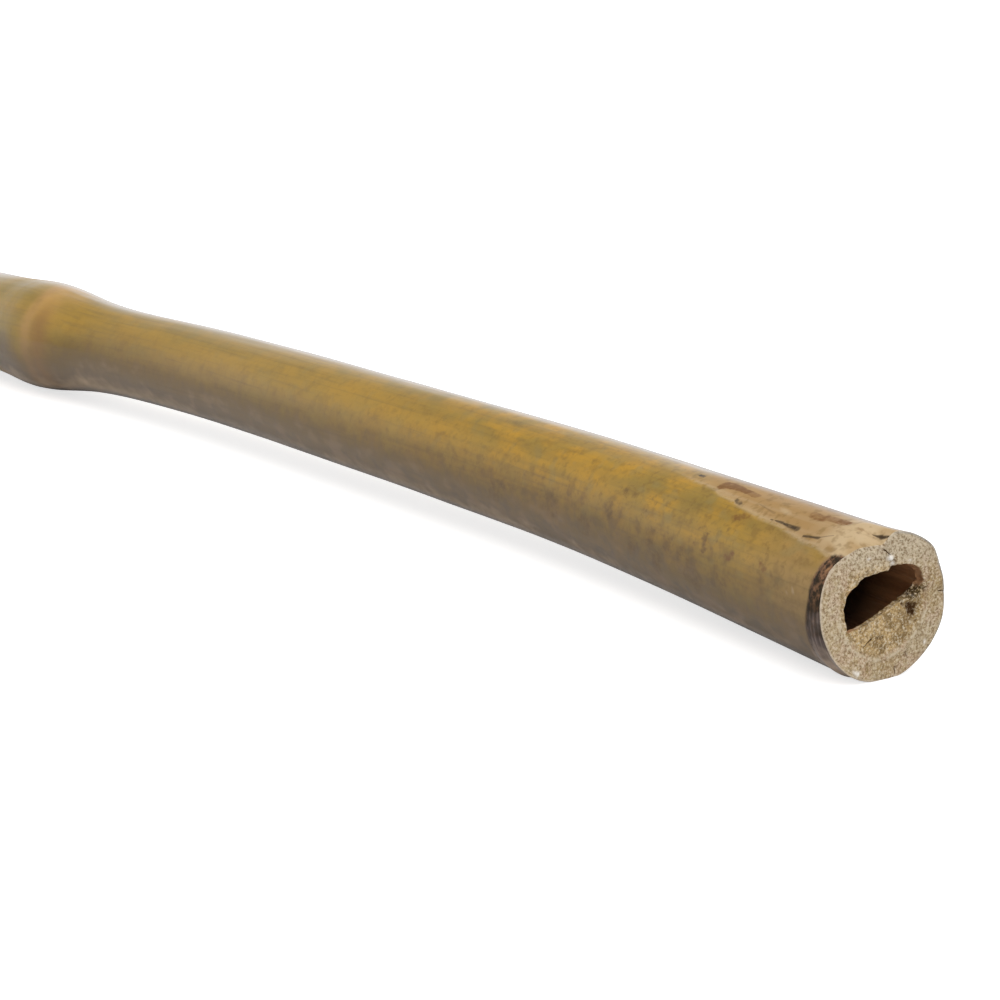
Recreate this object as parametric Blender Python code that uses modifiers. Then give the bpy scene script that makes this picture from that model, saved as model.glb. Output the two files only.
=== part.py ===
# A bamboo cane, cut to length and lying on a flat surface, with its thin end towards +X.
# It is one grown piece: a hollow culm whose nodes swell and carry a ridge, a groove and the
# ledge of a fallen sheath. The thin end is sawn through a node, so half of that node's
# diaphragm still closes the hollow behind it. The thick end is sawn between two nodes and
# shows a round hollow. The chambers between the inner diaphragms are sealed in the real
# culm, and solid here.
#
# Places on the cane are given as s, the distance along it from the thin end, and an angle
# round it from straight up, positive towards +Y.

import math

import bmesh
import bpy
import numpy as np
from mathutils import Matrix, Vector

CANE_LENGTH = 1.200

# One value for each node, from the thin end: its place, the radius of the internode on its
# thick side, the long flare of that internode into the node, and the node's own ridge
NODE_PLACES = (0.0, 0.3005, 0.620, 0.945)
INTERNODE_RADII = (0.01042, 0.01180, 0.01215, 0.01245)
FLARE_HEIGHTS = (0.00103, 0.00120, 0.00110, 0.00105)
RIDGE_HEIGHTS = (0.00018, 0.00075, 0.00072, 0.00070)
FLARE_LENGTH, FLARE_POWER = 0.060, 1.9
RIDGE_LENGTH = 0.0085
THIN_SIDE_LENGTH = 0.0163

# Fine relief of a node, placed along the culm from the node's middle
GROOVE_PLACE, GROOVE_WIDTH, GROOVE_DEPTH = 0.0020, 0.0010, 0.00030
LEDGE_PLACE, LEDGE_WIDTH, LEDGE_HEIGHT = 0.0036, 0.0005, 0.00028

# How far each node's ring leans along the culm, and the side that comes forward
NODE_LEANS = (0.0, 0.0020, 0.0014, 0.0018)
LEAN_ANGLES = (0.0, math.radians(-90), math.radians(70), math.radians(-30))
LEAN_REACH = 0.030

# The bud scar on each whole node, on alternate sides, and the furrow that it leaves in the
# internode on its thin side
BUD_ANGLES = (math.radians(100), math.radians(-80), math.radians(96))
BUD_PLACE, BUD_LENGTH, BUD_WIDTH, BUD_HEIGHT = -0.0030, 0.0028, math.radians(11), 0.0009
FURROW_LENGTH, FURROW_WIDTH, FURROW_DEPTH = 0.070, math.radians(24), 0.00040

# The top of the thin end, where handling has rubbed the node's relief away
RUBBED_ANGLE, RUBBED_WIDTH = math.radians(4), math.radians(50)

# Out of round
OVAL, OVAL_TWIST = 0.008, 5.0
THREE_SIDED, THREE_SIDED_TWIST = 0.004, 9.0

# The line of the culm seen from above: its heading at the thin end, in degrees
# anticlockwise from -X, and bends as (middle, length, degrees)
FIRST_HEADING = -5.2
BENDS = (
    (0.080, 0.080, 5.0),
    (0.222, 0.070, 5.0),
    (0.3005, 0.018, -4.0),
    (0.450, 0.240, 1.6),
    (0.620, 0.020, -1.0),
    (0.780, 0.260, 2.8),
    (0.945, 0.020, -1.2),
    (1.080, 0.200, 2.2),
)

# Seen from the side: three nodes touch the surface and have small worn flats, the second
# one stands a little clear, and the first internode arches
FLAT_DEPTH = 0.00012
NODE_LIFTS = (0.0, 0.0005, 0.0, 0.0)
THICK_END_LIFT = 0.0008
FIRST_ARCH = 0.0010
CONTACT_REACH = 0.006

# The hollows: the half-open mouth at the thin end, and the round one at the thick end
DIAPHRAGM_THICKNESS = 0.0018
MOUTH_RADIUS = 0.0071
MOUTH_OFF_CENTRE = (0.0008, -0.00075)
MOUTH_EDGE_TILT = math.radians(17.6)
MOUTH_EDGE_DROP = 0.0002
OFF_CENTRE_FADE = 0.040
THIN_HOLLOW_RADIUS = 0.0073
THIN_HOLLOW_END = 0.2965
THICK_HOLLOW_START = 0.9500
THICK_HOLLOW_RADIUS = 0.0084
DOME_HEIGHT = 0.0035
CUT_MARGIN = 0.003

# Facets
SKIN_SIDES = 32
HOLLOW_SIDES = 24
NODE_STEPS = (
    -0.052, -0.041, -0.033, -0.027, -0.022, -0.0175, -0.0135, -0.010, -0.007, -0.0045,
    -0.0025, -0.0010, 0.0004, 0.0012, 0.0020, 0.0028, 0.0032, 0.0036, 0.0042, 0.0060,
    0.009, 0.013, 0.018, 0.025, 0.034, 0.046, 0.062, 0.082,
)
LONGEST_STEP = 0.034
HOLLOW_STEP = 0.026
LINE_STEP = 0.0005

CANE_COLOUR = (0.36, 0.25, 0.09, 1.0)
CANE_ROUGHNESS = 0.42


def clear_scene():
    for thing in list(bpy.data.objects):
        bpy.data.objects.remove(thing)


def bell(value, width):
    return np.exp(-0.5 * (value / width) ** 2)


def fade(value, low, high):
    # 1 below low, 0 above high, and smooth between
    share = np.clip((value - low) / (high - low), 0.0, 1.0)
    return 1.0 - share * share * (3.0 - 2.0 * share)


def turn_between(angle, other):
    # The turn from one direction round the culm to another, from -180 to 180 degrees
    return (angle - other + math.pi) % (2.0 * math.pi) - math.pi


def thin_side_radius(index):
    # The internode radius on the thin side of a node
    return INTERNODE_RADII[max(index - 1, 0)]


def crest_radius(index):
    return INTERNODE_RADII[index] + FLARE_HEIGHTS[index] + RIDGE_HEIGHTS[index]


def node_relief(past, angle, index):
    # Groove, ledge, bud scar and furrow of a node, where past is the distance along the culm
    # from the node's middle
    rubbed = fade(np.abs(turn_between(angle, RUBBED_ANGLE)), 0.6 * RUBBED_WIDTH, RUBBED_WIDTH)
    kept = 1.0 - rubbed * (index == 0)
    relief = LEDGE_HEIGHT * bell(past - LEDGE_PLACE, LEDGE_WIDTH)
    relief = kept * (relief - GROOVE_DEPTH * bell(past - GROOVE_PLACE, GROOVE_WIDTH))
    if index:
        sideways = turn_between(angle, BUD_ANGLES[index - 1])
        bud = bell(past - BUD_PLACE, BUD_LENGTH) * bell(sideways, BUD_WIDTH)
        furrow = bell(np.minimum(past, 0.0), FURROW_LENGTH) * bell(sideways, FURROW_WIDTH)
        relief = relief + BUD_HEIGHT * bud - FURROW_DEPTH * furrow * (past < 0.0)
    return relief


def node_lean(index, angle):
    # How far a node's ring comes towards the thin end on one side
    return NODE_LEANS[index] * np.cos(angle - LEAN_ANGLES[index])


def with_the_nodes(s, angle):
    # The place of a ring's point, moved with the lean of the node beside it
    moved = s
    for index, place in enumerate(NODE_PLACES):
        moved = moved - node_lean(index, angle) * bell(s - place, LEAN_REACH)
    return moved


def culm_radius(s, angle, relief=True):
    # The radius of the skin: the internode's own, lifted to the crest at each node
    radius = np.full(np.shape(s), INTERNODE_RADII[0])
    for index, place in enumerate(NODE_PLACES):
        past = s - place + node_lean(index, angle)
        rise = crest_radius(index) - thin_side_radius(index)
        thin_side = radius + rise * bell(past, THIN_SIDE_LENGTH)
        flare = FLARE_HEIGHTS[index] * np.exp(-((np.abs(past) / FLARE_LENGTH) ** FLARE_POWER))
        thick_side = INTERNODE_RADII[index] + flare + RIDGE_HEIGHTS[index] * bell(past, RIDGE_LENGTH)
        radius = np.where(past < 0.0, thin_side, thick_side)
        if relief:
            radius = radius + node_relief(past, angle, index)
    oval = OVAL * np.cos(2.0 * angle - OVAL_TWIST * s)
    three_sided = THREE_SIDED * np.cos(3.0 * angle + THREE_SIDED_TWIST * s)
    return radius * (1.0 + oval + three_sided)


def touching_height(index):
    # The height of the culm's middle over a node that rests on its flat
    reach = np.linspace(-CONTACT_REACH, CONTACT_REACH, 61)
    s = np.maximum(NODE_PLACES[index] + reach, 0.0)
    lowest = culm_radius(s, np.full(len(s), math.pi), relief=False).max()
    return lowest * math.cos(math.pi / SKIN_SIDES) - FLAT_DEPTH + NODE_LIFTS[index]


def culm_line():
    # Points and headings of the culm's middle line, every LINE_STEP
    s = np.arange(0.0, CANE_LENGTH + LINE_STEP, LINE_STEP)
    heading = np.full(len(s), FIRST_HEADING)
    for middle, length, degrees in BENDS:
        low, high = middle - length / 2.0, middle + length / 2.0
        heading = heading + degrees * (1.0 - fade(s, low, high))
    heading = np.radians(heading)
    x = -np.cumsum(np.cos(heading)) * LINE_STEP
    y = -np.cumsum(np.sin(heading)) * LINE_STEP
    places = NODE_PLACES + (CANE_LENGTH,)
    heights = [touching_height(index) for index in range(len(NODE_PLACES))]
    heights.append(INTERNODE_RADII[-1] + THICK_END_LIFT)
    z = np.interp(s, places, heights)
    share = np.clip(s / NODE_PLACES[1], 0.0, 1.0)
    z = z + 4.0 * FIRST_ARCH * share * (1.0 - share)
    return s, np.stack([x - x[0], y - y[0], z], axis=1), heading


def on_culm(line, s, sideways, upward):
    # World points from places along the culm and offsets across it. A place beyond an end
    # carries straight on.
    line_s, points, headings = line
    heading = np.interp(s, line_s, headings)
    ones, zeros = np.ones(len(s)), np.zeros(len(s))
    along = np.stack([-np.cos(heading), -np.sin(heading), zeros], axis=1)
    across = np.stack([-np.sin(heading), np.cos(heading), zeros], axis=1)
    up = np.stack([zeros, zeros, ones], axis=1)
    middle = np.stack([np.interp(s, line_s, points[:, axis]) for axis in range(3)], axis=1)
    beyond = s - np.clip(s, 0.0, CANE_LENGTH)
    return middle + beyond[:, None] * along + sideways[:, None] * across + upward[:, None] * up


def linked(name, mesh):
    thing = bpy.data.objects.new(name, mesh)
    bpy.context.scene.collection.objects.link(thing)
    return thing


def turned(name, profile, sides):
    # A closed turned shape about +Z from (radius, height) pairs listed from the bottom up
    outline = [(0.0, 0.0, profile[-1][1])]
    outline += [(radius, 0.0, height) for radius, height in reversed(profile)]
    outline += [(0.0, 0.0, profile[0][1])]
    mesh = bpy.data.meshes.new(name + "_profile")
    mesh.from_pydata(outline, [(i, i + 1) for i in range(len(outline) - 1)], [])
    drawn = linked(name + "_profile", mesh)
    screw = drawn.modifiers.new("turn", "SCREW")
    screw.axis = "Z"
    screw.steps = screw.render_steps = sides
    screw.use_merge_vertices = True
    screw.merge_threshold = 0.00002
    screw.use_smooth_shade = False
    graph = bpy.context.evaluated_depsgraph_get()
    made = linked(name, bpy.data.meshes.new_from_object(drawn.evaluated_get(graph)))
    bpy.data.objects.remove(drawn)
    return made


def vertex_array(thing):
    points = np.empty(len(thing.data.vertices) * 3, dtype=np.float32)
    thing.data.vertices.foreach_get("co", points)
    return points.reshape(-1, 3).astype(float)


def set_vertices(thing, points):
    thing.data.vertices.foreach_set("co", points.astype(np.float32).ravel())
    thing.data.update()


def skin_places():
    # Places of the skin's rings: close together at the nodes, wide apart between them
    places = {0.0, CANE_LENGTH}
    for node in NODE_PLACES:
        places |= {node + step for step in NODE_STEPS if 0.0 < node + step < CANE_LENGTH}
    places = sorted(places)
    rings = [0.0]
    for low, high in zip(places[:-1], places[1:]):
        count = math.ceil((high - low) / LONGEST_STEP)
        rings += [low + (high - low) * (i + 1) / count for i in range(count)]
    return rings


def culm_skin(line):
    # A turned rod whose points are then moved to the culm's radius and line
    plain_radius = INTERNODE_RADII[0]
    rod = turned("cane", [(plain_radius, s) for s in skin_places()], SKIN_SIDES)
    points = vertex_array(rod)
    angle = np.arctan2(-points[:, 0], points[:, 1]) + math.pi / SKIN_SIDES
    s = with_the_nodes(points[:, 2], angle)
    on_axis = np.hypot(points[:, 0], points[:, 1]) < 0.5 * plain_radius
    radius = np.where(on_axis, 0.0, culm_radius(s, angle))
    set_vertices(rod, on_culm(line, s, radius * np.sin(angle), radius * np.cos(angle)))
    return rod


def bent_into_place(thing, line):
    # Carries a hollow's cutter from the Z axis to the culm's line, off centre at the mouth
    points = vertex_array(thing)
    s = points[:, 2]
    share = np.exp(-np.maximum(s, 0.0) / OFF_CENTRE_FADE)
    sideways = MOUTH_OFF_CENTRE[0] * share - points[:, 0]
    upward = MOUTH_OFF_CENTRE[1] * share + points[:, 1]
    set_vertices(thing, on_culm(line, s, sideways, upward))
    return thing


def dome(radius, start, direction):
    # Profile points of a diaphragm's shallow dome, from its middle out to the wall
    shares = (0.35, 0.65, 0.88, 1.0)
    return [(radius * share, start + direction * DOME_HEIGHT * share**4) for share in shares]


def even_places(low, high):
    count = math.ceil((high - low) / HOLLOW_STEP)
    return [low + (high - low) * i / count for i in range(1, count)]


def thin_hollow(line):
    # From behind the broken diaphragm to the dome of the next one
    start, radius = DIAPHRAGM_THICKNESS, THIN_HOLLOW_RADIUS
    end_dome = dome(radius, THIN_HOLLOW_END, -1.0)
    profile = [(radius, start)]
    profile += [(radius, s) for s in even_places(start, end_dome[-1][1])]
    profile += reversed(end_dome)
    return bent_into_place(turned("thin_hollow", profile, HOLLOW_SIDES), line)


def thick_hollow(line):
    # From the last diaphragm's dome out through the thick end
    radius, end = THICK_HOLLOW_RADIUS, CANE_LENGTH + CUT_MARGIN
    start_dome = dome(radius, THICK_HOLLOW_START, 1.0)
    profile = start_dome + [(radius, s) for s in even_places(start_dome[-1][1], end)]
    profile.append((radius, end))
    return bent_into_place(turned("thick_hollow", profile, HOLLOW_SIDES), line)


def thin_mouth(line):
    # The open half of the first diaphragm: a short rod, with all below a tilted edge cut away
    low, high = -CUT_MARGIN, DIAPHRAGM_THICKNESS + CUT_MARGIN
    rod = turned("thin_mouth", [(MOUTH_RADIUS, low), (MOUTH_RADIUS, high)], HOLLOW_SIDES)
    upwards = Vector((math.sin(MOUTH_EDGE_TILT), math.cos(MOUTH_EDGE_TILT), 0.0))
    shape = bmesh.new()
    shape.from_mesh(rod.data)
    everything = shape.verts[:] + shape.edges[:] + shape.faces[:]
    bmesh.ops.bisect_plane(
        shape, geom=everything, plane_co=-MOUTH_EDGE_DROP * upwards, plane_no=upwards,
        clear_inner=True,
    )
    bmesh.ops.holes_fill(shape, edges=[edge for edge in shape.edges if edge.is_boundary])
    bmesh.ops.recalc_face_normals(shape, faces=shape.faces)
    shape.to_mesh(rod.data)
    shape.free()
    return bent_into_place(rod, line)


def resting_surface():
    # A slab whose top is the surface that the cane lies on
    thickness = 0.02
    bpy.ops.mesh.primitive_cube_add(size=1.0, location=(0.0, 0.0, -thickness / 2.0))
    slab = bpy.context.object
    slab.name = "resting_surface"
    slab.data.transform(Matrix.Diagonal((1.1 * CANE_LENGTH, 0.25, thickness, 1.0)))
    return slab


def centre_on_origin(cane, others):
    # Moves everything so that the cane's box is centred on the origin, seen from above
    points = vertex_array(cane)
    middle = (points.min(axis=0) + points.max(axis=0)) / 2.0
    shift = Matrix.Translation((-middle[0], -middle[1], 0.0))
    for thing in [cane] + others:
        thing.data.transform(shift)


def culm_material():
    material = bpy.data.materials.new("bamboo skin")
    material.use_nodes = True
    shader = material.node_tree.nodes["Principled BSDF"]
    shader.inputs["Base Color"].default_value = CANE_COLOUR
    shader.inputs["Roughness"].default_value = CANE_ROUGHNESS
    shader.inputs["Metallic"].default_value = 0.0
    return material


def file_under(name, things):
    group = bpy.data.collections.new(name)
    bpy.context.scene.collection.children.link(group)
    for thing in things:
        for holder in list(thing.users_collection):
            holder.objects.unlink(thing)
        group.objects.link(thing)


def build():
    clear_scene()
    line = culm_line()
    cane = culm_skin(line)
    hollows = [thin_hollow(line), thin_mouth(line), thick_hollow(line)]
    centre_on_origin(cane, hollows)
    cutters = hollows + [resting_surface()]
    for cutter in cutters:
        cut = cane.modifiers.new(cutter.name, "BOOLEAN")
        cut.operation = "DIFFERENCE"
        cut.solver = "EXACT"
        cut.object = cutter
        cutter.hide_render = True
        cutter.display_type = "WIRE"
    cane.data.materials.append(culm_material())
    cane.data.shade_smooth()
    cane.data.set_sharp_from_angle(angle=math.radians(40))
    file_under("bamboo cane", [cane])
    file_under("cutters", cutters)


build()
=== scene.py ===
import math

import bpy
import numpy as np
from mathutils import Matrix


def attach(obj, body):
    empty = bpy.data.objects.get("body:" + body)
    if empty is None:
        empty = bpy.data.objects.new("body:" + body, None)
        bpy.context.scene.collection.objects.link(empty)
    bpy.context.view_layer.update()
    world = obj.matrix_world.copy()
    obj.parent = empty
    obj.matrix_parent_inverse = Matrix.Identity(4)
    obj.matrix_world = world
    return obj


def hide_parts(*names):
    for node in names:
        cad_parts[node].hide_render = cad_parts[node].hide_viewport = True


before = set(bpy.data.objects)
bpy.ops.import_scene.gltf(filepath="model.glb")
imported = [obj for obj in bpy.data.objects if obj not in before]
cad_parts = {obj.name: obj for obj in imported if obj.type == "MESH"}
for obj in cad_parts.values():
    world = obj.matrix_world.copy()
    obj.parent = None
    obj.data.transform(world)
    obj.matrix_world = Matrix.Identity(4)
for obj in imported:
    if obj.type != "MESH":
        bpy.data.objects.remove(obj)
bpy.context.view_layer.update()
mm = 0.001


# the culm's size and line, in metres, as in the part

culm = {
    "length": 1.2,
    "start": (0.599142, 0.018213),  # the thin end's middle, seen from above
    "nodes": (0, 0.3005, 0.62, 0.945),
    "radii": (0.01042, 0.0118, 0.01215, 0.01245),  # internode on each node's thick side
    "flares": (0.00103, 0.0012, 0.0011, 0.00105),
    "ridges": (0.00018, 0.00075, 0.00072, 0.0007),
    "flareLength": 0.06, "flarePower": 1.9, "ridgeLength": 0.0085, "thinSide": 0.0163,
    "groove": (0.002, 0.001, 0.0003),  # place past the node, width, depth
    "ledge": (0.0036, 0.0005, 0.00028),
    "scars": (1, 0.06, 1, 1),  # how much of them shows at each node
    "leans": (0, 0.002, 0.0014, 0.0018), "leanAngles": (0, -90, 70, -30),
    "leanReach": 0.03,
    "budAngles": (100, -80, 96),
    "bud": (-0.003, 0.0028, 11, 0.0009),  # place, length, width in degrees, height
    "furrow": (0.07, 24, 0.0004),  # length, width in degrees, depth
    "rubbed": (4, 50),  # middle and width, in degrees
    "oval": (0.008, 5), "threeSided": (0.004, 9),  # share of the radius, twist per metre
    "heading": -5.2,
    "bends": (
        (0.08, 0.08, 5), (0.222, 0.07, 5), (0.3005, 0.018, -4), (0.45, 0.24, 1.6),
        (0.62, 0.02, -1), (0.78, 0.26, 2.8), (0.945, 0.02, -1.2), (1.08, 0.2, 2.2)),
    "heights": ((0, 0.0115), (0.3005, 0.014121), (0.62, 0.013629), (0.945, 0.014049),
                (1.2, 0.01325)),
    "arch": 0.001,
    "lineStep": 0.0005,
}


def bell(value, width):
    # 1 in the middle, falling as a normal curve of this width
    return np.exp(-0.5 * (value / width) ** 2)


def rising(value, low, high):
    # 0 below low, 1 above high, and smooth between
    share = np.clip((value - low) / (high - low), 0, 1)
    return share * share * (3 - 2 * share)


def turnFrom(angle, middle):
    # degrees from one direction round the culm to another, from -180 to 180
    return (angle - middle + 180) % 360 - 180


def fromTable(angle, table):
    # straight lines between (degrees, value) pairs, round and round
    turns, values = zip(*table)
    return np.interp(angle, turns, values, period=360)


def ripple(points, wavelength, seed, count=28):
    # smooth noise from -1 to 1 or so: a sum of plane waves in drawn directions and phases
    draw = np.random.default_rng(seed)
    ways = draw.normal(size=(count, 3))
    ways /= np.linalg.norm(ways, axis=1)[:, None]
    ways *= 2 * math.pi / (wavelength * draw.uniform(0.7, 1.6, size=(count, 1)))
    phases = draw.uniform(0, 2 * math.pi, size=count)
    total = np.zeros(points.shape[:-1])
    for way, phase in zip(ways, phases):
        total += np.cos(points @ way + phase)
    return total / math.sqrt(count)


def joined(*places):
    # separate coordinates made one array of points
    return np.stack(np.broadcast_arrays(*places), axis=-1)


def direction(sideways, upward):
    # degrees round the culm, from straight up
    return np.degrees(np.arctan2(sideways, upward))


def around(turn, radius, centre=(0, 0)):
    # sideways and upward on a ring round a centre, at a turn in radians from straight up
    return centre[0] + radius * np.sin(turn), centre[1] + radius * np.cos(turn)


def nodeLean(index, angle):
    # how far a node's ring comes towards the thin end on one side
    return culm["leans"][index] * np.cos(np.radians(angle - culm["leanAngles"][index]))


def withTheNodes(s, angle):
    # a ring's place, moved with the lean of the node beside it
    moved = s
    for index, place in enumerate(culm["nodes"]):
        moved = moved - nodeLean(index, angle) * bell(s - place, culm["leanReach"])
    return moved


def nodeRelief(past, angle, index):
    # groove, ledge, bud scar and furrow of a node, by the distance past the node's middle
    middle, width = culm["rubbed"]
    kept = 1 if index else rising(np.abs(turnFrom(angle, middle)), 0.6 * width, width)
    place, width, height = culm["ledge"]
    relief = height * bell(past - place, width)
    place, width, depth = culm["groove"]
    relief = culm["scars"][index] * kept * (relief - depth * bell(past - place, width))
    if index:
        sideways = turnFrom(angle, culm["budAngles"][index - 1])
        place, length, width, height = culm["bud"]
        relief = relief + height * bell(past - place, length) * bell(sideways, width)
        length, width, depth = culm["furrow"]
        furrow = bell(np.minimum(past, 0), length) * bell(sideways, width)
        relief = relief - depth * furrow * (past < 0)
    return relief


def culmRadius(s, angle):
    # the internode's own radius, lifted in a long flare to the crest at each node
    radius = np.full(np.shape(s), culm["radii"][0])
    sizes = zip(culm["nodes"], culm["radii"], culm["flares"], culm["ridges"])
    for index, (place, own, flare, ridge) in enumerate(sizes):
        past = s - place + nodeLean(index, angle)
        rise = own + flare + ridge - culm["radii"][max(index - 1, 0)]
        thinSide = radius + rise * bell(past, culm["thinSide"])
        fade = np.exp(-((np.abs(past) / culm["flareLength"]) ** culm["flarePower"]))
        thickSide = own + flare * fade + ridge * bell(past, culm["ridgeLength"])
        radius = np.where(past < 0, thinSide, thickSide) + nodeRelief(past, angle, index)
    oval = culm["oval"][0] * np.cos(np.radians(2 * angle) - culm["oval"][1] * s)
    sides = culm["threeSided"][0] * np.cos(np.radians(3 * angle) + culm["threeSided"][1] * s)
    return radius * (1 + oval + sides)


def culmLine():
    # the middle line: steps along a heading that turns at each bend, and heights between nodes
    s = np.arange(0, culm["length"] + culm["lineStep"], culm["lineStep"])
    heading = np.full(len(s), culm["heading"])
    for middle, length, degrees in culm["bends"]:
        heading = heading + degrees * rising(s, middle - length / 2, middle + length / 2)
    heading = np.radians(heading)
    x = -np.cumsum(np.cos(heading)) * culm["lineStep"]
    y = -np.cumsum(np.sin(heading)) * culm["lineStep"]
    z = np.interp(s, *zip(*culm["heights"]))
    share = np.clip(s / culm["nodes"][1], 0, 1)
    z = z + 4 * culm["arch"] * share * (1 - share)
    start = culm["start"]
    return s, np.stack([x - x[0] + start[0], y - y[0] + start[1], z], axis=1), heading


def onCulm(line, straight):
    # world points: the middle line's point at s, and then sideways and up from it
    lineS, points, headings = line
    s = straight[:, 0]
    heading = np.interp(s, lineS, headings)
    middle = np.stack([np.interp(s, lineS, points[:, axis]) for axis in range(3)], axis=1)
    beyond = s - np.clip(s, 0, culm["length"])
    middle[:, 0] -= beyond * np.cos(heading) + straight[:, 1] * np.sin(heading)
    middle[:, 1] -= beyond * np.sin(heading) - straight[:, 1] * np.cos(heading)
    middle[:, 2] += straight[:, 2]
    return middle


# the sawn ends and the hollows, in millimetres across the cut: sideways, upward

cut = {
    "tilt": (0.75, -0.07, -0.0125),  # the saw's depth: at the middle, sideways, and twisting
    "tiltReach": 45,  # how far along the skin the slant dies away
    "mouthCentre": (0.2, 2.6),
    "mouth": (
        (-6.6, -3.2), (-6.9, -1.8), (-7.2, -0.2), (-7.2, 0.8), (-6.8, 2.1), (-6.1, 3.1),
        (-5.2, 3.6), (-4.6, 3.9), (-4.2, 4.5), (-3.4, 5), (-2.1, 5.2), (-0.6, 5.5), (0.7, 5.6),
        (1.2, 6.2), (2.1, 6.5), (3.5, 6.5), (5, 6.2), (6, 5.6), (6.7, 4.7), (7.1, 3.9), (7.2, 3),
        (6.1, 2.3), (5.1, 1.4), (3.3, 0.6), (1, -0.5), (-1.3, -1.6), (-3.9, -2.6), (-5.8, -3)),
    "crumbly": (98, 16, 0.26),  # direction, spread and depth of the crumbled corner
    "plate": 1.8,  # thickness of the diaphragm
    "wallCentre": (0.3, -0.2), "wall": 7.55, "wallSwell": (46, 17, 0.72),
    "wallReach": 18,
    "bevel": (
        (-60, 0), (-55, 0), (-44, 0.5), (-31, 1.1), (-25, 1.3), (-15, 1.8), (-8, 1.95), (-3, 2.1),
        (0, 1.7), (3.5, 0.9), (7, 0.15), (11, -0.1), (20, -0.35), (40, -0.5), (45, -0.42),
        (50, -0.18), (57, 0.13), (64, 0.22), (70, 0.18), (78, 0.14), (85, 0.1), (90, -0.01),
        (95, -0.18), (100, -0.4), (105, -0.62), (110, -0.79), (116, -0.9), (124, -0.95),
        (134, -0.92), (148, -0.81), (156, -0.73), (163, -0.56), (170, -0.28), (176, -0.16),
        (181, 0)),
    "bevelLength": 5.5,
    "step": ((-0.9, 9.2), (1.2, 6.7), 0.28, 30),  # from, to, height, how far it dies away
    "pits": (
        (4.75, -0.25, 0.36, 0.45), (5.3, -0.85, 0.5, 0.75), (5.75, -1.6, 0.34, 0.6),
        (4.9, -1.3, 0.22, 0.35), (-0.64, -4.75, 0.2, 0.35), (0.14, -4.72, 0.22, 0.4),
        (-1.1, -4.6, 0.14, 0.2), (3.5, 0.1, 0.24, 0.35), (3.05, -2.3, 0.18, 0.22),
        (4.6, -2.85, 0.2, 0.25), (5.1, -3.45, 0.18, 0.22), (2.8, -2.8, 0.15, 0.2),
        (4.96, -8, 0.2, 0.35), (5.3, -8.4, 0.15, 0.3), (3.1, -10.2, 0.16, 0.3),
        (-1.2, -10.8, 0.16, 0.25), (-0.2, -6.5, 0.16, 0.18), (0.9, -6.55, 0.18, 0.2),
        (1.45, 7.1, 0.24, 0.3), (3.9, -1.9, 0.18, 0.2), (6.8, -0.2, 0.25, 0.3),
        (5.3, -2.6, 0.2, 0.25), (4, -3.3, 0.22, 0.25), (3.3, -1.4, 0.2, 0.2),
        (6.3, -2.9, 0.18, 0.2), (2.3, -1.9, 0.16, 0.2), (6, -0.2, 0.2, 0.3)),
    "crumbs": (
        (6.1, 1.9, 0.22, -0.55), (5.9, 1.35, 0.24, -0.6), (7.1, 2.3, 0.26, -0.45),
        (5.3, 1.15, 0.2, -0.45), (6.6, 1.5, 0.2, -0.4), (3.2, -0.6, 0.34, -0.25),
        (3.5, -1.4, 0.3, -0.25), (1, 7.5, 0.3, -0.3), (-4.9, -9.6, 0.3, -0.2)),
    "cracks": (
        ((10.2, 1.35), (11.6, 1.15)), ((3.1, -9.9), (3.15, -11.2)), ((-0.3, 9.1), (0.9, 8.1)),
        ((-2, -4.7), (-3.6, -5.9))),
    "crumble": ((4.9, 1.1), (7, 2.4), 0.7, 0.4),  # from, to, reach, how deep
    "crackWidth": 0.11, "crackDepth": 0.3,
    # pale crumbs, and painted glints on the step and the crumbs
    "flecksAndGlints": (
        (-4.9, -9.6, 0.28, 1.2), (8.75, -6.8, 0.2, 1), (0.85, 7.65, 0.26, 1.5),
        (1.35, 6.75, 0.2, 0.9), (-5.6, -9.2, 0.2, 0.6), (-2.7, 7.75, 0.14, 0.9),
        (4.3, 7, 0.14, 0.7), (5.3, 1.15, 0.11, 0.2), (6.6, 1, 0.11, 0.2)),
    "border": (8.15, 0.2, 0.14),  # radius, width and height of the lumen's old edge
    "rimRound": 0.22,
    "thinHollow": 7.3, "thinHollowEnd": 296.5, "thickHollow": 8.4, "thickHollowStart": 950,
    "domeHeight": 3.5, "offCentre": (0.8, -0.75), "offCentreReach": 40,
}

mesh = {
    "sides": 160, "faceRings": 42,
    # steps between the skin's rings, by the distance to the nearest node and to the thin end
    "nodeSteps": ((8, 14, 24, 45), (0.62, 1.3, 2.6, 6)),
    "endSteps": ((5.5, 9, 50, 70), (0.27, 0.7, 0.9, 6)),
    "domeShares": (0.08, 0.3, 0.5, 0.68, 0.84, 0.94, 1),  # radii of a dome's rings
}


def roundOutline(corners, centre, angle):
    # how far a closed outline lies from its centre in each direction
    corners = np.array(corners) - centre
    share = np.linspace(0, 1, 14, endpoint=False)[:, None, None]
    drawn = (corners + (np.roll(corners, -1, axis=0) - corners) * share).reshape(-1, 2)
    turns = direction(*drawn.T)
    order = np.argsort(turns)
    return np.interp(angle, turns[order], np.hypot(*drawn[order].T), period=360)


def fromSegment(sideways, upward, start, end):
    # distance from the straight line between two points, and the side it lies on
    way = np.subtract(end, start)
    length = math.hypot(*way)
    along = ((sideways - start[0]) * way[0] + (upward - start[1]) * way[1]) / length**2
    near = np.clip(along, 0, 1)
    gap = np.hypot(sideways - start[0] - near * way[0], upward - start[1] - near * way[1])
    side = ((sideways - start[0]) * way[1] - (upward - start[1]) * way[0]) / length
    return gap, side


def hills(sideways, upward, spots):
    # the sum of small bells at (sideways, upward, width, height)
    total = np.zeros(np.shape(sideways))
    for x, y, width, height in spots:
        total += height * bell(np.hypot(sideways - x, upward - y), width)
    return total


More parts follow.
